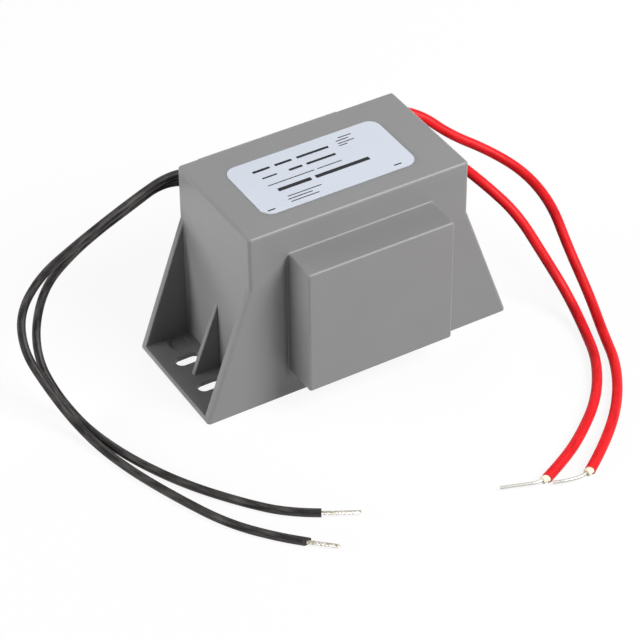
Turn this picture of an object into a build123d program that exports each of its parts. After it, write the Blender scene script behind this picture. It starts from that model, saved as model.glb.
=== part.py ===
from build123d import *
from math import radians, tan
import os

# Encapsulated mains transformer: a wound EI core moulded into one plastic body
# with two bolt-down feet, two black primary leads and two red secondary leads.
# Millimetres. +X points to the secondary leads, -Y is the front, +Z is up, and
# the origin is the middle of the base.

# Laminated core, in the proportions of scrapless E and I stampings
tongue = 18.0
stack = 24.0

# Plastic over the core and over the coil where it stands out of the core
end_cover = 3.1
side_cover = 5.3
top_cover = 2.6
base_cover = 2.9
coil_cover_x = 2.3
coil_cover_y = 6.4
coil_cover_top = 4.05
coil_cover_bottom = 4.65

# Feet: flange, two gusset walls and a rib at each end
foot_reach = 12.4
flange_t = 1.3
toe_height = 0.6
gusset_t = 2.2
gusset_height = 35.5
rib_t = 1.4
rib_reach = 7.2
rib_height = 20.4
slot_length = 6.8
slot_width = 3.5
slot_offset = 5.4
slot_spread = 11.2
mark_radius = 2.6
mark_depth = 0.2
mark_offset = 4.4
mark_spread = 24.2

# Rounded edges of the moulding
outline_r = 0.85
bulge_corner_r = 0.7
bulge_edge_r = 0.6
bulge_root_r = 0.4
pocket_r = 0.5
gusset_edge_r = 0.3
rib_edge_r = 0.3

# Bobbin on the centre leg
leg_clearance = 0.2
window_clearance = 0.3
tube_wall = 1.0
tube_corner_r = 0.5
bobbin_flange_t = 1.4
bobbin_flange_r = 1.0

# Windings and insulation, in the order they are wound
primary_build = 3.3
interlayer_build = 0.4
secondary_build = 2.9
tape_build = 0.5

# Thermal fuse against the back of the coil
fuse_length = 8.0
fuse_thickness = 2.4
fuse_height = 5.0

# Solder tags in the top flange of the bobbin
tag_t = 0.8
tag_root_t = 0.8
tag_root_depth = 2.5
tag_width = 2.4
inner_tag_inset = 8.5
outer_tag_inset = 3.5
tag_margin = 0.2

# Label
label_length = 42.0
label_depth = 20.7
label_t = 0.2
label_corner_r = 3.0
label_x = -1.2
label_y = -1.0

# Leads: sheath, inner sleeve of the red pair and bare wire
primary_lead_d = 2.1
secondary_lead_d = 2.6
strand_d = 1.0
liner_d = 1.9
liner_length = 1.3
wire_d = 0.8
lead_standoff = 4.1
inner_straight = 9.4
primary_outer_straight = 6.8
secondary_outer_straight = 7.8
primary_rise = 2.5
primary_drop = 0.1
secondary_rise = 1.9
secondary_drop = 1.8

# Free stretch of each lead, from its straight start to the cut of the sheath
primary_route_1 = [
    (-28.2, 25.6, 41.9), (-38.4, 22.8, 40.9), (-48.2, 21.1, 38.3), (-57.6, 20.2, 34.7),
    (-66.2, 20.5, 29.6), (-73.2, 18.7, 22.5), (-75.3, 13.2, 15.4), (-73.6, 6.0, 9.4),
    (-71.2, -2.2, 3.7), (-68.9, -11.8, 1.05), (-66.1, -23.7, 1.05), (-61.6, -36.5, 1.05),
    (-55.9, -50.0, 1.05), (-48.4, -59.9, 1.05), (-43.2, -64.9, 1.05),
]
primary_route_2 = [
    (-29.6, 26.7, 39.4), (-39.4, 24.7, 37.1), (-48.8, 22.4, 35.5), (-57.4, 21.3, 32.0),
    (-64.9, 21.2, 25.7), (-69.4, 19.0, 16.9), (-71.6, 13.6, 10.7), (-71.0, 6.8, 5.8),
    (-68.7, -1.2, 1.2), (-67.0, -10.3, 1.05), (-63.6, -21.3, 1.05), (-57.4, -34.3, 1.05),
    (-48.8, -46.7, 1.05), (-41.7, -54.6, 1.05), (-35.5, -58.4, 1.05),
]
secondary_route_1 = [
    (31.0, 24.6, 40.8), (39.9, 20.0, 38.7), (46.1, 15.4, 32.8), (55.0, 10.9, 27.5),
    (61.4, 3.4, 22.9), (62.7, -7.0, 18.9), (60.8, -17.5, 12.8), (60.5, -28.0, 4.7),
    (57.4, -38.6, 1.3), (53.1, -50.5, 1.3), (44.6, -62.8, 1.3), (33.2, -73.2, 1.3),
    (25.5, -78.5, 1.3),
]
secondary_route_2 = [
    (31.4, 22.4, 36.3), (37.8, 15.1, 36.1), (40.3, 5.1, 33.7), (44.1, -4.4, 30.2),
    (49.1, -11.4, 23.8), (52.7, -18.2, 14.1), (55.4, -25.4, 5.7), (54.1, -35.5, 1.3),
    (49.8, -47.0, 1.3), (41.3, -58.7, 1.3), (29.4, -68.2, 1.3), (21.0, -73.0, 1.3),
    (15.3, -75.6, 1.3),
]

# Bare wire beyond the cut: the end of each twisted bundle, and the bends and end of each solid wire
primary_tip_1 = (-37.3, -69.9, 0.8)
primary_tip_2 = (-27.4, -62.7, 0.85)
secondary_bare_1 = [(22.4, -79.2, 1.25), (19.2, -78.65, 1.15), (15.8, -77.3, 1.0)]
secondary_bare_2 = [(12.3, -75.6, 1.25), (8.6, -74.05, 1.1), (4.4, -72.4, 0.9)]

# Worked out from the sizes above
leg = tongue / 2
core_width = 3 * tongue
core_height = 2.5 * tongue
window_height = 1.5 * tongue
body_length = core_width + 2 * end_cover
body_depth = stack + 2 * side_cover
body_height = base_cover + core_height + top_cover
core_middle_z = base_cover + core_height / 2
coil_height = window_height - 2 * window_clearance
coil_half_x = tongue - window_clearance
coil_half_y = stack / 2 + leg - window_clearance
bulge_width = 2 * (coil_half_x + coil_cover_x)
bulge_height = coil_height + coil_cover_top + coil_cover_bottom
bulge_middle_z = core_middle_z + (coil_cover_top - coil_cover_bottom) / 2
bulge_face_y = coil_half_y + coil_cover_y
end_wall_x = body_length / 2
side_wall_y = body_depth / 2
winding_height = coil_height - 2 * bobbin_flange_t
tube_half_x = leg + leg_clearance + tube_wall
tube_half_y = stack / 2 + leg_clearance + tube_wall
top_flange_z = core_middle_z + coil_height / 2 - bobbin_flange_t / 2
lead_y = coil_half_y + lead_standoff
inner_tag_x = coil_half_x - inner_tag_inset
outer_tag_x = coil_half_x - outer_tag_inset

EMBED = 0.5
TOLERANCE = 1e-4


def block(x_range, y_range, z_range):
    """Box between two coordinates on each axis."""
    spans = [(min(pair), max(pair)) for pair in (x_range, y_range, z_range)]
    size = [high - low for low, high in spans]
    middle = [(low + high) / 2 for low, high in spans]
    return Pos(*middle) * Box(*size)


def at_corner(sketch, x, y):
    """The vertices of a mirrored outline at (+x, y) and (-x, y)."""
    return [v for v in sketch.vertices() if abs(abs(v.X) - x) < TOLERANCE and abs(v.Y - y) < TOLERANCE]


def body_and_feet():
    """Body and solid feet from one front outline, with its edges rounded."""
    foot_x = end_wall_x + foot_reach
    right = [(foot_x, 0), (foot_x, toe_height), (end_wall_x, gusset_height), (end_wall_x, body_height)]
    left = [(-x, z) for x, z in reversed(right)]
    outline = make_face(Polyline(*right, *left, close=True))
    outline = fillet(at_corner(outline, end_wall_x, body_height), outline_r)
    solid = extrude(Plane.XZ * outline, side_wall_y, both=True)
    rim = [e for e in solid.edges()
           if abs(abs(e.center().Y) - side_wall_y) < TOLERANCE and e.center().Z > TOLERANCE]
    return fillet(rim, outline_r)


def foot_pocket(side):
    """Space above the flange between the two gusset walls."""
    pocket_half = side_wall_y - gusset_t
    outside = end_wall_x + foot_reach + EMBED
    space = block((side * end_wall_x, side * outside), (-pocket_half, pocket_half),
                  (flange_t, gusset_height + EMBED))
    inner = [e for e in space.edges().filter_by(Axis.Z) if abs(abs(e.center().X) - end_wall_x) < TOLERANCE]
    return fillet(inner, pocket_r)


def foot_rib(side):
    """Triangular rib from the middle of the end wall to the flange."""
    reach = end_wall_x + rib_reach
    inside = end_wall_x - EMBED
    under = flange_t - EMBED
    points = [(inside, under), (reach, under), (reach, flange_t), (end_wall_x, rib_height),
              (inside, rib_height)]
    outline = make_face(Polyline(*[(side * x, z) for x, z in points], close=True))
    rib = extrude(Plane.XZ * outline, rib_t / 2, both=True)
    slope = [e for e in rib.edges()
             if abs(abs(e.center().Y) - rib_t / 2) < TOLERANCE
             and abs(abs(e.center().X) - end_wall_x - rib_reach / 2) < TOLERANCE
             and e.center().Z > flange_t]
    return fillet(slope, rib_edge_r)


def winding_bulge(side):
    """Rounded box over the coil on the front (-1) or back (+1) wall."""
    depth = bulge_face_y - side_wall_y + EMBED
    plane = Plane((0, side * (side_wall_y - EMBED), bulge_middle_z), x_dir=(1, 0, 0), z_dir=(0, side, 0))
    bulge = extrude(plane * RectangleRounded(bulge_width, bulge_height, bulge_corner_r), depth)
    rim = [e for e in bulge.edges() if abs(abs(e.center().Y) - bulge_face_y) < TOLERANCE]
    return fillet(rim, bulge_edge_r)


def foot_cuts():
    """Screw slots and round mould marks of both feet."""
    slot_x = end_wall_x + slot_offset
    mark_x = end_wall_x + mark_offset
    cuts = []
    for x_side in (-1, 1):
        for y_side in (-1, 1):
            slot_place = Pos(x_side * slot_x, y_side * slot_spread / 2, 0)
            cuts.append(extrude(slot_place * SlotOverall(slot_length, slot_width), flange_t + EMBED))
            mark_place = Pos(x_side * mark_x, y_side * mark_spread / 2, flange_t - mark_depth)
            cuts.append(extrude(mark_place * Circle(mark_radius), mark_depth + EMBED))
    return cuts


def housing_shell():
    """Outside form of the moulding, still solid inside."""
    solid = body_and_feet()
    for side in (-1, 1):
        solid -= foot_pocket(side)
    inner_y = side_wall_y - gusset_t
    sloping = [e for e in solid.edges()
               if abs(abs(e.center().Y) - inner_y) < TOLERANCE
               and end_wall_x + pocket_r < abs(e.center().X) < end_wall_x + foot_reach - TOLERANCE
               and flange_t + TOLERANCE < e.center().Z]
    solid = fillet(sloping, gusset_edge_r)
    for side in (-1, 1):
        solid += foot_rib(side)
        solid += winding_bulge(side)
    root = [e for e in solid.edges()
            if abs(abs(e.center().Y) - side_wall_y) < TOLERANCE
            and abs(e.center().X) < bulge_width / 2 + TOLERANCE
            and abs(e.center().Z - bulge_middle_z) < bulge_height / 2 + TOLERANCE]
    solid = fillet(root, bulge_root_r)
    for cut in foot_cuts():
        solid -= cut
    return solid


def lamination_stack(outline):
    """Flat stampings stacked through the core's thickness."""
    return extrude(Plane.XZ * outline, stack / 2, both=True)


def e_laminations():
    """Yoke at the bottom with three legs."""
    bottom = base_cover
    shoulder = bottom + leg
    top = shoulder + window_height
    half = core_width / 2
    right = [(half, bottom), (half, top), (tongue, top), (tongue, shoulder), (leg, shoulder), (leg, top)]
    left = [(-x, z) for x, z in reversed(right)]
    return lamination_stack(make_face(Polyline(*right, *left, close=True)))


def i_laminations():
    """Bar that closes the three legs."""
    middle_z = base_cover + core_height - leg / 2
    return lamination_stack(Pos(0, middle_z) * Rectangle(core_width, leg))


def ring(inner_offset, outer_offset, height):
    """Closed layer round the bobbin's tube, between two distances from it."""
    def outline(offset):
        width = 2 * (tube_half_x + offset)
        depth = 2 * (tube_half_y + offset)
        return RectangleRounded(width, depth, tube_corner_r + offset)
    layer = outline(outer_offset) - outline(inner_offset)
    return Pos(0, 0, core_middle_z - height / 2) * extrude(layer, height)


def bobbin_body():
    """Tube on the centre leg with a flange at each end."""
    tube = extrude(RectangleRounded(2 * tube_half_x, 2 * tube_half_y, tube_corner_r), coil_height / 2,
                   both=True)
    for end in (-1, 1):
        flange = RectangleRounded(2 * coil_half_x, 2 * coil_half_y, bobbin_flange_r)
        plate = extrude(flange, bobbin_flange_t / 2, both=True)
        tube += Pos(0, 0, end * (coil_height - bobbin_flange_t) / 2) * plate
    bore = Box(2 * (leg + leg_clearance), stack + 2 * leg_clearance, coil_height)
    return Pos(0, 0, core_middle_z) * (tube - bore)


def thermal_fuse():
    """Flat fuse body lying on the outer tape at the back."""
    tape_y = tube_half_y + primary_build + interlayer_build + secondary_build + tape_build
    return block((-fuse_length / 2, fuse_length / 2), (tape_y, tape_y + fuse_thickness),
                 (core_middle_z - fuse_height / 2, core_middle_z + fuse_height / 2))


def solder_tag(x, lead_z, lead_d):
    """Flat tag: a root in the flange and an upright that the lead butts against."""
    x_range = (x - tag_t / 2, x + tag_t / 2)
    root_z = (top_flange_z - tag_root_t / 2, top_flange_z + tag_root_t / 2)
    upright_y = (lead_y - tag_width / 2, lead_y + tag_width / 2)
    reach = lead_d / 2 + tag_margin
    upright_z = (min(root_z[0], lead_z - reach), max(root_z[1], lead_z + reach))
    root = block(x_range, (coil_half_y - tag_root_depth, upright_y[1]), root_z)
    return root + block(x_range, upright_y, upright_z)


def wire_path(points):
    """Straight runs joined by the largest tangent arcs that the runs allow."""
    places = [Vector(*point) for point in points]
    radii = []
    for before, here, after in zip(places, places[1:], places[2:]):
        run_in = here - before
        run_out = after - here
        half_turn = radians(run_in.get_angle(run_out)) / 2
        radii.append(0.45 * min(run_in.length, run_out.length) / tan(half_turn))
    return FilletPolyline(*places, radius=radii), radii


def round_wire(points, diameter):
    """Round wire along a route."""
    path, radii = wire_path(points)
    start = Plane(origin=path @ 0, z_dir=path % 0)
    solid = sweep(start * Circle(diameter / 2), path=path)
    ratio = solid.volume / (Circle(diameter / 2).area * path.length)
    print(f"wire {path.length:.1f} mm, least radius {min(radii):.1f} mm, volume ratio {ratio:.4f}")
    return solid


def straight_wire(start, end, diameter):
    """Round wire between two points, square to its own line."""
    direction = Vector(*end) - Vector(*start)
    plane = Plane(origin=start, z_dir=direction)
    return extrude(plane * Circle(diameter / 2), direction.length)


def lead_start(tag_x, rise, straight):
    """Straight start of a sheath, square to its tag's outer face."""
    side = 1 if tag_x > 0 else -1
    first_x = tag_x + side * tag_t / 2
    return [(x, lead_y, top_flange_z + rise) for x in (first_x, first_x + side * straight)]


parts = {}

leads = {
    "primary_lead_1": (-inner_tag_x, primary_rise, inner_straight, primary_route_1),
    "primary_lead_2": (-outer_tag_x, -primary_drop, primary_outer_straight, primary_route_2),
    "secondary_lead_1": (inner_tag_x, secondary_rise, inner_straight, secondary_route_1),
    "secondary_lead_2": (outer_tag_x, -secondary_drop, secondary_outer_straight, secondary_route_2),
}
for name, (tag_x, rise, straight, route) in leads.items():
    diameter = primary_lead_d if name.startswith("primary") else secondary_lead_d
    parts[name] = round_wire(lead_start(tag_x, rise, straight) + route, diameter)
    parts[name.replace("lead", "terminal")] = solder_tag(tag_x, top_flange_z + rise, diameter)

for number, route, tip in ((1, primary_route_1, primary_tip_1), (2, primary_route_2, primary_tip_2)):
    cut = Vector(*route[-1])
    direction = (cut - Vector(*route[-2])).normalized()
    middle = cut + direction * (Vector(*tip) - cut).length / 2
    parts[f"primary_conductor_{number}"] = round_wire([cut, middle, tip], strand_d)

for number, route, bare in ((1, secondary_route_1, secondary_bare_1),
                            (2, secondary_route_2, secondary_bare_2)):
    cut = Vector(*route[-1])
    direction = (Vector(*bare[0]) - cut).normalized()
    liner_end = cut + direction * liner_length
    liner = straight_wire(cut - direction * EMBED, liner_end, liner_d)
    parts[f"secondary_liner_{number}"] = liner - parts[f"secondary_lead_{number}"]
    parts[f"secondary_conductor_{number}"] = round_wire([liner_end, *bare], wire_d)

tags = [shape for name, shape in parts.items() if "terminal" in name]
sheaths = [parts[name] for name in leads]
parts["bobbin"] = bobbin_body()
for tag in tags:
    parts["bobbin"] -= tag

reach = 0
for name, build in (("primary_winding", primary_build), ("interlayer_insulation", interlayer_build),
                    ("secondary_winding", secondary_build), ("outer_tape", tape_build)):
    parts[name] = ring(reach, reach + build, winding_height)
    reach += build

parts["e_laminations"] = e_laminations()
parts["i_laminations"] = i_laminations()
parts["thermal_fuse"] = thermal_fuse()

core_space = block((-core_width / 2, core_width / 2), (-stack / 2, stack / 2),
                   (base_cover, base_cover + core_height))
coil_outline = RectangleRounded(2 * coil_half_x, 2 * coil_half_y, bobbin_flange_r)
coil_space = Pos(0, 0, core_middle_z) * extrude(coil_outline, coil_height / 2, both=True)
housing = housing_shell()
for inner in (core_space, coil_space, parts["thermal_fuse"], *tags, *sheaths):
    housing -= inner
parts["housing"] = housing

label = RectangleRounded(label_length, label_depth, label_corner_r)
parts["label"] = Pos(label_x, label_y, body_height) * extrude(label, label_t)

os.makedirs("parts", exist_ok=True)
for name, shape in parts.items():
    export_step(shape, f"parts/{name}.step")
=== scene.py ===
from math import radians, tau

import bmesh
import bpy
from mathutils import Matrix, Quaternion, Vector


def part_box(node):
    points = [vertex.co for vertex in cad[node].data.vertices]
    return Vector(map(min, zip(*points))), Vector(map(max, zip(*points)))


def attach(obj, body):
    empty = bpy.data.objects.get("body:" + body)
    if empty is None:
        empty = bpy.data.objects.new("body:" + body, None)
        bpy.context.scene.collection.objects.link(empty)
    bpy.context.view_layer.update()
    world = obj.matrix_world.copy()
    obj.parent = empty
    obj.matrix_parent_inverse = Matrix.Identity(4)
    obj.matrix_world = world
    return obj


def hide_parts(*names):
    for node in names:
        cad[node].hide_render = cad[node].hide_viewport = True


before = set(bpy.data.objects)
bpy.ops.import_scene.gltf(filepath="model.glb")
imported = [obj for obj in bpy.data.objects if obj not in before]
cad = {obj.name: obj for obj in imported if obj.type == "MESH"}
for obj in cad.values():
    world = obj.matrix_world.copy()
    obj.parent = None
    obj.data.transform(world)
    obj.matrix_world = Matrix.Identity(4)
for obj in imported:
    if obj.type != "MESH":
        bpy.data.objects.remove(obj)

scene = bpy.context.scene
scene.view_settings.view_transform = "Standard"
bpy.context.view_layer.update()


# Laminated core: E and I stampings of electrical steel, stacked through the depth and pushed
# together round the coil. The sheet edges show as fine dark lines on the sides of the stack.
def new_finish(name, colour, roughness, metallic=0.0):
    """A node material with its plain values set, its node tree and its shader."""
    material = bpy.data.materials.new(name)
    material.use_nodes = True
    shader = material.node_tree.nodes["Principled BSDF"]
    shader.inputs["Base Color"].default_value = (*colour, 1)
    shader.inputs["Roughness"].default_value = roughness
    shader.inputs["Metallic"].default_value = metallic
    return material, material.node_tree, shader


def object_place(tree):
    """Object coordinates, in metres in the part's own frame."""
    return tree.nodes.new("ShaderNodeTexCoord").outputs["Object"]


def bands(tree, axis, pitch):
    """Fine lines across one axis, a pitch apart in metres."""
    waves_at_scale_one = 20 / tau
    node = tree.nodes.new("ShaderNodeTexWave")
    node.bands_direction = axis
    node.inputs["Scale"].default_value = 1 / (waves_at_scale_one * pitch)
    tree.links.new(object_place(tree), node.inputs["Vector"])
    return node.outputs["Fac"]


def shade(tree, shader, factor, dark, light):
    """Colour between dark and light by a factor."""
    mix = tree.nodes.new("ShaderNodeMix")
    mix.data_type = "RGBA"
    mix.inputs["A"].default_value = (*dark, 1)
    mix.inputs["B"].default_value = (*light, 1)
    tree.links.new(factor, mix.inputs["Factor"])
    tree.links.new(mix.outputs["Result"], shader.inputs["Base Color"])


def relief(tree, shader, height, depth):
    """Surface relief of a depth in metres."""
    bump = tree.nodes.new("ShaderNodeBump")
    bump.inputs["Distance"].default_value = depth
    tree.links.new(height, bump.inputs["Height"])
    tree.links.new(bump.outputs["Normal"], shader.inputs["Normal"])


def dress(material, *names):
    """Puts a finish on CAD nodes."""
    for name in names:
        cad[name].data.materials.clear()
        cad[name].data.materials.append(material)


steel, tree, shader = new_finish("stacked_steel", (0.42, 0.42, 0.44), roughness=0.38, metallic=0.9)
sheet_edges = bands(tree, "Y", pitch=0.0005)
shade(tree, shader, sheet_edges, dark=(0.2, 0.2, 0.21), light=(0.46, 0.46, 0.48))
relief(tree, shader, sheet_edges, depth=0.00005)
dress(steel, "e_laminations", "i_laminations")


# Bobbin: one natural nylon moulding, a tube over the centre leg with a flange at each end. Both
# coils are wound on it, between the flanges.
def noise(tree, size):
    """Cloudy noise whose patches are about size metres across."""
    node = tree.nodes.new("ShaderNodeTexNoise")
    node.inputs["Scale"].default_value = 1 / size
    node.inputs["Detail"].default_value = 3
    tree.links.new(object_place(tree), node.inputs["Vector"])
    return node.outputs["Fac"]


natural_nylon, tree, shader = new_finish("natural_nylon", (0.75, 0.72, 0.64), roughness=0.45)
shade(tree, shader, noise(tree, size=0.006), dark=(0.7, 0.66, 0.57), light=(0.8, 0.77, 0.69))
relief(tree, shader, noise(tree, size=0.0004), depth=0.00001)
dress(natural_nylon, "bobbin")

# Windings: enamelled copper wire wound in even layers. The primary lies inside, on the bobbin's
# tube, and the secondary goes over it.
enamelled_copper, tree, shader = new_finish(
    "enamelled_copper", (0.55, 0.26, 0.13), roughness=0.3, metallic=0.85,
)
turns = bands(tree, "Z", pitch=0.0004)
shade(tree, shader, turns, dark=(0.3, 0.11, 0.05), light=(0.62, 0.3, 0.15))
relief(tree, shader, turns, depth=0.0001)
dress(enamelled_copper, "primary_winding", "secondary_winding")

# Insulation: amber film tape wound on in laps. One layer parts the two coils and the other
# covers the outside.
amber_film, tree, shader = new_finish("amber_film", (0.75, 0.6, 0.2), roughness=0.25)
laps = bands(tree, "Z", pitch=0.006)
shade(tree, shader, laps, dark=(0.68, 0.5, 0.12), light=(0.8, 0.66, 0.26))
relief(tree, shader, laps, depth=0.00005)
dress(amber_film, "interlayer_insulation", "outer_tape")

# Thermal fuse: a small flat ceramic-filled body that opens the primary when the coil is too hot.
# It lies on the outer tape at the back of the coil.
fuse_body, tree, shader = new_finish("fuse_body", (0.7, 0.7, 0.68), roughness=0.6)
shade(tree, shader, noise(tree, size=0.001), dark=(0.64, 0.64, 0.61), light=(0.75, 0.75, 0.73))
relief(tree, shader, noise(tree, size=0.0003), depth=0.00002)
dress(fuse_body, "thermal_fuse")


# Solder tags: tinned brass strips pressed into the bobbin's top flange, two for each coil. Each
# lead is joined to one of them.
def polish(tree, shader, factor, smooth, rough):
    """Roughness between two values by a factor."""
    spread = tree.nodes.new("ShaderNodeMapRange")
    spread.inputs["To Min"].default_value = smooth
    spread.inputs["To Max"].default_value = rough
    tree.links.new(factor, spread.inputs["Value"])
    tree.links.new(spread.outputs["Result"], shader.inputs["Roughness"])


tinned_brass, tree, shader = new_finish("tinned_brass", (0.7, 0.68, 0.62), roughness=0.35, metallic=0.9)
shade(tree, shader, noise(tree, size=0.001), dark=(0.62, 0.58, 0.5), light=(0.76, 0.75, 0.71))
polish(tree, shader, noise(tree, size=0.0006), smooth=0.25, rough=0.5)
dress(tinned_brass, "primary_terminal_1", "primary_terminal_2")
dress(tinned_brass, "secondary_terminal_1", "secondary_terminal_2")

# Housing: grey plastic moulded round the wound core in one shot, with the coil bulges, the
# slotted feet, the gusset walls and the ribs. Its skin is smooth and faintly matt.
grey_moulding, tree, shader = new_finish("grey_moulding", (0.265, 0.265, 0.268), roughness=0.4)
shader.inputs["Specular IOR Level"].default_value = 0.4
shade(tree, shader, noise(tree, size=0.012), dark=(0.255, 0.255, 0.258), light=(0.275, 0.275, 0.278))
polish(tree, shader, noise(tree, size=0.004), smooth=0.33, rough=0.43)
relief(tree, shader, noise(tree, size=0.0005), depth=0.000006)
dress(grey_moulding, "housing")

# Label: a satin silver-white plastic film with rounded corners, stuck flat on the housing's top.
# Its colour and its surface are faintly uneven.
label_film, tree, shader = new_finish("label_film", (0.69, 0.74, 0.82), roughness=0.35)
shade(tree, shader, noise(tree, size=0.01), dark=(0.645, 0.69, 0.775), light=(0.685, 0.73, 0.815))
relief(tree, shader, noise(tree, size=0.003), depth=0.00002)
dress(label_film, "label")


# Label print: dark ink laid on the film in rows of plain bars, thick ones in the middle and
# thin ones at the edges.
def finished_mesh(name, shape):
    """The mesh of a finished bmesh, which is freed."""
    mesh = bpy.data.meshes.new(name)
    shape.to_mesh(mesh)
    shape.free()
    return mesh


def add_piece(name, data, material):
    """A piece made of a mesh or a curve, with its finish, on the part's one body."""
    data.materials.append(material)
    piece = bpy.data.objects.new(name, data)
    scene.collection.objects.link(piece)
    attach(piece, "root")
    return piece


label_ink, tree, shader = new_finish("label_ink", (0.02, 0.02, 0.025), roughness=0.6)
shader.inputs["Specular IOR Level"].default_value = 0.2
shade(tree, shader, noise(tree, size=0.0004), dark=(0.01, 0.01, 0.014), light=(0.03, 0.03, 0.036))
relief(tree, shader, noise(tree, size=0.0002), depth=0.000004)

# Each row's place across the film, its width, and the ends of its bars, in mm from the film's middle
ink_rows = [
    (-8.9, 0.4, [(-19.6, -17.6)]),
    (-8.7, 0.4, [(15.0, 17.1)]),
    (-8.5, 0.3, [(-13.0, -5.4)]),
    (-7.4, 0.3, [(-13.2, -6.6)]),
    (-6.3, 0.3, [(-12.8, -3.6)]),
    (-3.0, 1.2, [(-13.4, -4.4), (-3.2, 11.6)]),
    (-0.4, 0.3, [(-14.6, -2.0), (-1.2, 5.6)]),
    (2.8, 0.5, [(-14.4, -10.4)]),
    (2.6, 0.8, [(-7.2, -3.6), (-2.4, 5.6)]),
    (6.0, 0.8, [(-15.2, -10.6), (-9.2, -4.6), (-3.2, 5.6)]),
    (4.9, 0.3, [(8.0, 10.4)]),
    (5.8, 0.3, [(8.2, 12.6)]),
    (6.9, 0.3, [(8.2, 11.8)]),
    (7.9, 0.3, [(9.4, 13.0)]),
]
ink_depth = 0.00004
ink_corner = 0.0001
film_low, film_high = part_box("label")
film_middle = (Vector(film_low) + Vector(film_high)) / 2
shape = bmesh.new()
for across, width, spans in ink_rows:
    for left, right in spans:
        middle = Vector((film_middle.x + (left + right) / 2000, film_middle.y + across / 1000, film_high[2]))
        size = Matrix.Diagonal(((right - left) / 1000, width / 1000, ink_depth, 1))
        bmesh.ops.create_cube(shape, size=1, matrix=Matrix.Translation(middle) @ size)
upright = [edge for edge in shape.edges if edge.verts[0].co.xy == edge.verts[1].co.xy]
bmesh.ops.bevel(
    shape, geom=upright, offset=ink_corner, segments=2, profile=0.5, affect="EDGES", material=-1,
)
add_piece("label_print", finished_mesh("label_print", shape), label_ink)


# Primary leads: two black stranded wires. They leave the left side of the back bulge, arch
# over the left foot and lie on the floor to the front.
def smooth_line(name, points, steps):
    """A curve of one smooth spline whose control points are in millimetres."""
    curve = bpy.data.curves.new(name, "CURVE")
    curve.dimensions = "3D"
    spline = curve.splines.new("NURBS")
    spline.points.add(len(points) - 1)
    for point, (x, y, z) in zip(spline.points, points):
        point.co = (x / 1000, y / 1000, z / 1000, 1)
    spline.order_u = 3
    spline.use_endpoint_u = True
    spline.resolution_u = steps
    return curve


def lead(name, points, diameter, material):
    """A round sheath along a smooth line, with its diameter in metres."""
    curve = smooth_line(name, points, steps=10)
    curve.bevel_depth = diameter / 2
    curve.bevel_resolution = 5
    curve.use_fill_caps = True
    return add_piece(name, curve, material)


def sharpen(tree, factor, low, high):
    """A factor stretched to run from 0 at low to 1 at high."""
    spread = tree.nodes.new("ShaderNodeMapRange")
    spread.inputs["From Min"].default_value = low
    spread.inputs["From Max"].default_value = high
    tree.links.new(factor, spread.inputs["Value"])
    return spread.outputs["Result"]


def streaks(tree, along, around):
    """Noise drawn out along a lead, with so many patches over its length and round it."""
    drawn = tree.nodes.new("ShaderNodeMapping")
    drawn.inputs["Scale"].default_value = (along, around, 1)
    tree.links.new(tree.nodes.new("ShaderNodeTexCoord").outputs["UV"], drawn.inputs["Vector"])
    node = tree.nodes.new("ShaderNodeTexNoise")
    node.inputs["Scale"].default_value = 1
    node.inputs["Detail"].default_value = 6
    tree.links.new(drawn.outputs["Vector"], node.inputs["Vector"])
    return node.outputs["Fac"]


black_sheath, tree, shader = new_finish("black_sheath", (0.02, 0.02, 0.022), roughness=0.42)
shader.inputs["Specular IOR Level"].default_value = 0.25
# The lighter streaks along the black sheath are partly scuffed tone and partly painted sheen.
scuffs_and_sheen = sharpen(tree, streaks(tree, along=30, around=6), low=0.4, high=0.72)
shade(tree, shader, scuffs_and_sheen, dark=(0.0105, 0.0095, 0.0095), light=(0.09, 0.082, 0.08))
polish(tree, shader, noise(tree, size=0.0015), smooth=0.3, rough=0.55)
relief(tree, shader, noise(tree, size=0.0012), depth=0.00006)

black_diameter = 0.0021
outer_black = lead("outer_black_lead", [
    (-9.6, 24.8, 40.4), (-19.0, 24.8, 40.4), (-28.2, 25.6, 41.9), (-38.4, 22.8, 40.9), (-48.2, 21.1, 38.3),
    (-57.6, 20.2, 34.7), (-66.2, 20.5, 29.6), (-73.2, 18.7, 22.5), (-75.3, 13.2, 15.4), (-73.6, 6.0, 9.4),
    (-71.2, -2.2, 3.7), (-68.9, -11.8, 1.05), (-66.1, -23.7, 1.05), (-61.6, -36.5, 1.05),
    (-55.9, -50.0, 1.05), (-48.4, -59.9, 1.05), (-43.8, -64.3, 1.05),
], black_diameter, black_sheath)
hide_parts("primary_lead_1")
inner_black = lead("inner_black_lead", [
    (-14.6, 24.8, 37.8), (-21.4, 24.8, 37.8), (-29.6, 26.7, 39.4), (-39.4, 24.7, 37.1), (-48.8, 22.4, 35.5),
    (-57.4, 21.3, 32.0), (-64.9, 21.2, 25.7), (-69.4, 19.0, 16.9), (-71.6, 13.6, 10.7), (-71.0, 6.8, 5.8),
    (-68.7, -1.2, 1.2), (-67.0, -10.3, 1.05), (-63.6, -21.3, 1.05), (-57.4, -34.3, 1.05),
    (-48.8, -46.7, 1.05), (-41.7, -54.6, 1.05), (-35.5, -58.4, 1.05),
], black_diameter, black_sheath)
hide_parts("primary_lead_2")

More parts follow.
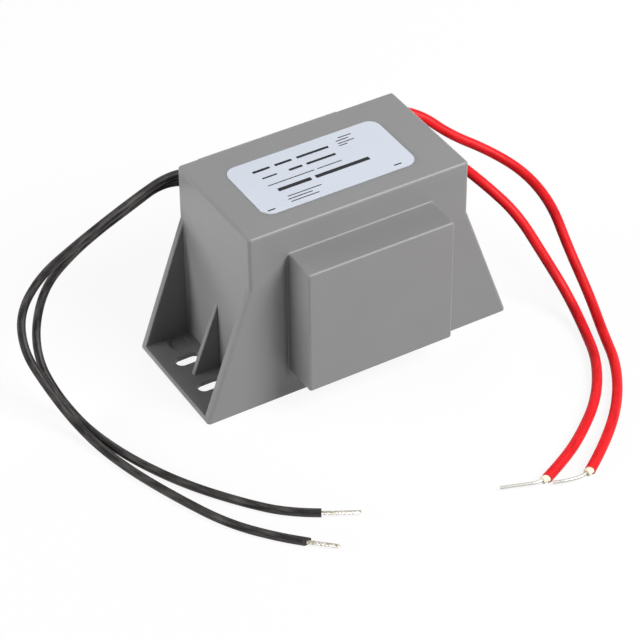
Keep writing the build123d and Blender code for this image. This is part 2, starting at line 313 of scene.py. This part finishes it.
# Cut end of the outer black lead: the last of its soft sheath, snipped at a slant so that one
# side stands further over the bare strands.
stub_length = 0.0018
stub_radius = black_diameter / 2
slant = 0.75
sheath_along = Vector((0.7208, -0.6931, 0))
sheath_side = sheath_along.cross(Vector((0, 0, 1)))
sheath_cut = Vector((-0.0432, -0.0649, stub_radius))
shape = bmesh.new()
bmesh.ops.create_cone(
    shape, cap_ends=True, segments=24, radius1=stub_radius, radius2=stub_radius, depth=stub_length,
    matrix=Matrix.Translation(sheath_cut) @ sheath_along.to_track_quat("Z", "Y").to_matrix().to_4x4(),
)
bmesh.ops.bisect_plane(
    shape, geom=shape.verts[:] + shape.edges[:] + shape.faces[:], plane_co=sheath_cut,
    plane_no=sheath_along + slant * sheath_side, clear_outer=True,
)
rim = [edge for edge in shape.edges if edge.is_boundary]
bmesh.ops.contextual_create(shape, geom=rim)
bmesh.ops.recalc_face_normals(shape, faces=shape.faces)
end_mesh = finished_mesh("outer_black_end", shape)
outer_black_end = add_piece("outer_black_end", end_mesh, black_sheath)


# Bare ends of the black leads: seven fine tinned copper wires, six of them twisted round the
# middle one and cut a little unevenly.
def twisted_strands(name, points, node):
    """Seven strands along a smooth line whose control points are in millimetres."""
    guide = smooth_line("strand_guide", points, steps=24)
    guide_piece = bpy.data.objects.new("strand_guide", guide)
    line_mesh = bpy.data.meshes.new_from_object(guide_piece)
    line = [vertex.co.copy() for vertex in line_mesh.vertices]
    bpy.data.objects.remove(guide_piece)
    bpy.data.curves.remove(guide)
    bpy.data.meshes.remove(line_mesh)

    thickness = 0.00033
    lay = 0.0056
    twisted = 6
    curve = bpy.data.curves.new(name, "CURVE")
    curve.dimensions = "3D"
    curve.bevel_depth = thickness / 2
    curve.bevel_resolution = 2
    curve.use_fill_caps = True
    for number in range(twisted + 1):
        places = line[:len(line) - number % 3]
        strand = curve.splines.new("POLY")
        strand.points.add(len(places) - 1)
        run = 0
        for step, middle in enumerate(places):
            if step > 0:
                run += (middle - places[step - 1]).length
            ahead = (line[min(step + 1, len(line) - 1)] - line[max(step - 1, 0)]).normalized()
            side = ahead.cross(Vector((0, 0, 1))).normalized()
            turned = Quaternion(ahead, tau * (run / lay + number / twisted)) @ side
            spot = middle + thickness * turned if number < twisted else middle
            strand.points[step].co = (*spot, 1)
    piece = add_piece(name, curve, tinned_copper)
    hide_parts(node)
    return piece


tinned_copper, tree, shader = new_finish("tinned_copper", (0.72, 0.7, 0.67), roughness=0.25, metallic=1.0)
# The dark flecks on the tinned copper are painted dark reflections and painted shade between the strands.
painted_dark_flecks = sharpen(tree, noise(tree, size=0.0007), low=0.38, high=0.62)
shade(tree, shader, painted_dark_flecks, dark=(0.48, 0.43, 0.35), light=(0.86, 0.85, 0.81))
polish(tree, shader, noise(tree, size=0.0004), smooth=0.18, rough=0.4)
outer_strands = twisted_strands(
    "outer_black_strands", [(-43.2, -64.9, 1.05), (-40.4, -67.6, 1.05), (-37.3, -69.9, 0.8)],
    "primary_conductor_1",
)
inner_strands = twisted_strands(
    "inner_black_strands", [(-35.5, -58.4, 1.05), (-31.6, -60.8, 1.05), (-27.4, -62.7, 0.85)],
    "primary_conductor_2",
)

# Secondary leads: two thicker red sleeved wires. They leave the right side of the back bulge
# and come round the right foot to the front.
red_sheath, tree, shader = new_finish("red_sheath", (0.8, 0.012, 0.018), roughness=0.4)
shader.inputs["Specular IOR Level"].default_value = 0.22
# The streaks along the red sheath are partly uneven tone and partly painted sheen.
scuffs_and_sheen = sharpen(tree, streaks(tree, along=30, around=6), low=0.35, high=0.65)
shade(tree, shader, scuffs_and_sheen, dark=(0.62, 0.007, 0.011), light=(0.86, 0.016, 0.022))
polish(tree, shader, noise(tree, size=0.0015), smooth=0.38, rough=0.55)
relief(tree, shader, noise(tree, size=0.0006), depth=0.00003)

red_diameter = 0.0026
outer_red = lead("outer_red_lead", [
    (9.6, 24.8, 39.8), (19.0, 24.8, 39.8), (31.0, 24.6, 40.8), (39.9, 20.0, 38.7), (46.1, 15.4, 32.8),
    (55.0, 10.9, 27.5), (61.4, 3.4, 22.9), (62.7, -7.0, 18.9), (60.8, -17.5, 12.8), (60.5, -28.0, 4.7),
    (57.4, -38.6, 1.3), (53.1, -50.5, 1.3), (44.6, -62.8, 1.3), (33.2, -73.2, 1.3), (25.5, -78.5, 1.3),
], red_diameter, red_sheath)
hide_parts("secondary_lead_1")
inner_red = lead("inner_red_lead", [
    (14.6, 24.8, 36.1), (22.4, 24.8, 36.1), (31.4, 22.4, 36.3), (37.8, 15.1, 36.1), (40.3, 5.1, 33.7),
    (44.1, -4.4, 30.2), (49.1, -11.4, 23.8), (52.7, -18.2, 14.1), (55.4, -25.4, 5.7), (54.1, -35.5, 1.3),
    (49.8, -47.0, 1.3), (41.3, -58.7, 1.3), (29.4, -68.2, 1.3), (21.0, -73.0, 1.3), (15.3, -75.6, 1.3),
], red_diameter, red_sheath)
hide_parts("secondary_lead_2")

# Bare ends of the red leads: a cream inner sleeve stands out of the red one, and a bright solid
# wire out of it.
cream_sleeve, tree, shader = new_finish("cream_sleeve", (0.9, 0.84, 0.66), roughness=0.6)
shade(tree, shader, noise(tree, size=0.0006), dark=(0.86, 0.79, 0.58), light=(0.93, 0.89, 0.75))
dress(cream_sleeve, "secondary_liner_1", "secondary_liner_2")
bright_wire, tree, shader = new_finish("bright_wire", (0.6, 0.59, 0.55), roughness=0.25, metallic=1.0)
shade(tree, shader, noise(tree, size=0.003), dark=(0.46, 0.45, 0.41), light=(0.7, 0.69, 0.65))
polish(tree, shader, noise(tree, size=0.001), smooth=0.18, rough=0.35)
dress(bright_wire, "secondary_conductor_1", "secondary_conductor_2")


# Studio: a pale floor that keeps a soft shadow, an even white surround and four soft boxes. A high
# one right of the front shows in the gloss. A dim low one in front and low ones behind each end
# stay out of it.
def seen_directly(tree):
    """1 for what the camera sees, straight or in gloss or glass."""
    path = tree.nodes.new("ShaderNodeLightPath")
    seen = path.outputs["Is Camera Ray"]
    for ray in ("Is Glossy Ray", "Is Transmission Ray"):
        either = tree.nodes.new("ShaderNodeMath")
        either.operation = "MAXIMUM"
        tree.links.new(seen, either.inputs[0])
        tree.links.new(path.outputs[ray], either.inputs[1])
        seen = either.outputs["Value"]
    return seen


fill_level = 0.02
white_level = 1.0
world = bpy.data.worlds.new("white_surround")
scene.world = world
world.use_nodes = True
tree = world.node_tree
backdrop = tree.nodes["Background"]
level = tree.nodes.new("ShaderNodeMapRange")
level.inputs["To Min"].default_value = fill_level
level.inputs["To Max"].default_value = white_level
tree.links.new(seen_directly(tree), level.inputs["Value"])
backdrop.inputs["Color"].default_value = (1, 1, 1, 1)
tree.links.new(level.outputs["Result"], backdrop.inputs["Strength"])

floor_reach = 6
floor_drop = 0.0001
shape = bmesh.new()
bmesh.ops.create_grid(
    shape, x_segments=1, y_segments=1, size=floor_reach, matrix=Matrix.Translation((0, 0, -floor_drop)),
)
floor_mesh = finished_mesh("floor", shape)
floor = bpy.data.objects.new("floor", floor_mesh)
scene.collection.objects.link(floor)

glow_share = 0.9
pale_floor, tree, shader = new_finish("pale_floor", (0.9, 0.9, 0.9), roughness=0.9)
shader.inputs["Specular IOR Level"].default_value = 0.0
shade(tree, shader, seen_directly(tree), dark=(0.3, 0.3, 0.3), light=(0.95, 0.95, 0.95))
glow = tree.nodes.new("ShaderNodeEmission")
glow.inputs["Color"].default_value = (1, 1, 1, 1)
share = tree.nodes.new("ShaderNodeMath")
share.operation = "MULTIPLY"
share.inputs[1].default_value = glow_share
tree.links.new(seen_directly(tree), share.inputs[0])
blend = tree.nodes.new("ShaderNodeMixShader")
tree.links.new(share.outputs["Value"], blend.inputs["Fac"])
tree.links.new(shader.outputs["BSDF"], blend.inputs[1])
tree.links.new(glow.outputs["Emission"], blend.inputs[2])
tree.links.new(blend.outputs["Shader"], tree.nodes["Material Output"].inputs["Surface"])
floor_mesh.materials.append(pale_floor)


def soft_box(name, spot, width, height, power, gloss):
    """An area lamp that faces a point inside the body, and that gloss mirrors or not."""
    inside = Vector((0, 0, 0.03))
    lamp = bpy.data.lights.new(name, "AREA")
    lamp.shape = "RECTANGLE"
    lamp.size = width
    lamp.size_y = height
    lamp.energy = power
    holder = bpy.data.objects.new(name, lamp)
    scene.collection.objects.link(holder)
    holder.visible_glossy = gloss
    holder.location = spot
    holder.rotation_euler = (inside - Vector(spot)).to_track_quat("-Z", "Y").to_euler()


soft_box("front_box", (0.3, -0.48, 0.58), width=0.4, height=0.45, power=6.8, gloss=True)
soft_box("left_box", (-0.7, 0.26, 0.19), width=0.55, height=0.22, power=5.1, gloss=False)
soft_box("back_box", (0.5, 0.6, 0.2), width=0.5, height=0.25, power=3.4, gloss=False)
soft_box("fill_box", (0.06, -0.75, 0.12), width=0.12, height=0.2, power=1.0, gloss=False)

# Camera: a long lens whose place, direction and turn fit the photographed corners of the body.
# Its focal length is in pixels of the square picture.
picture_width = 640
focal_length = 2684.85
lens = bpy.data.cameras.new("camera")
lens.sensor_width = 36
lens.lens = focal_length * lens.sensor_width / picture_width
lens.clip_start = 0.01
look = Vector((0.3923, 0.6700, -0.6302)).normalized()
aim = Vector((-0.001233, 0, 0.003079))
distance = 0.66725
turn = radians(-0.51)
camera = bpy.data.objects.new("camera", lens)
scene.collection.objects.link(camera)
camera.location = aim - look * distance
camera.rotation_mode = "QUATERNION"
camera.rotation_quaternion = look.to_track_quat("-Z", "Y") @ Quaternion((0, 0, 1), turn)
scene.camera = camera
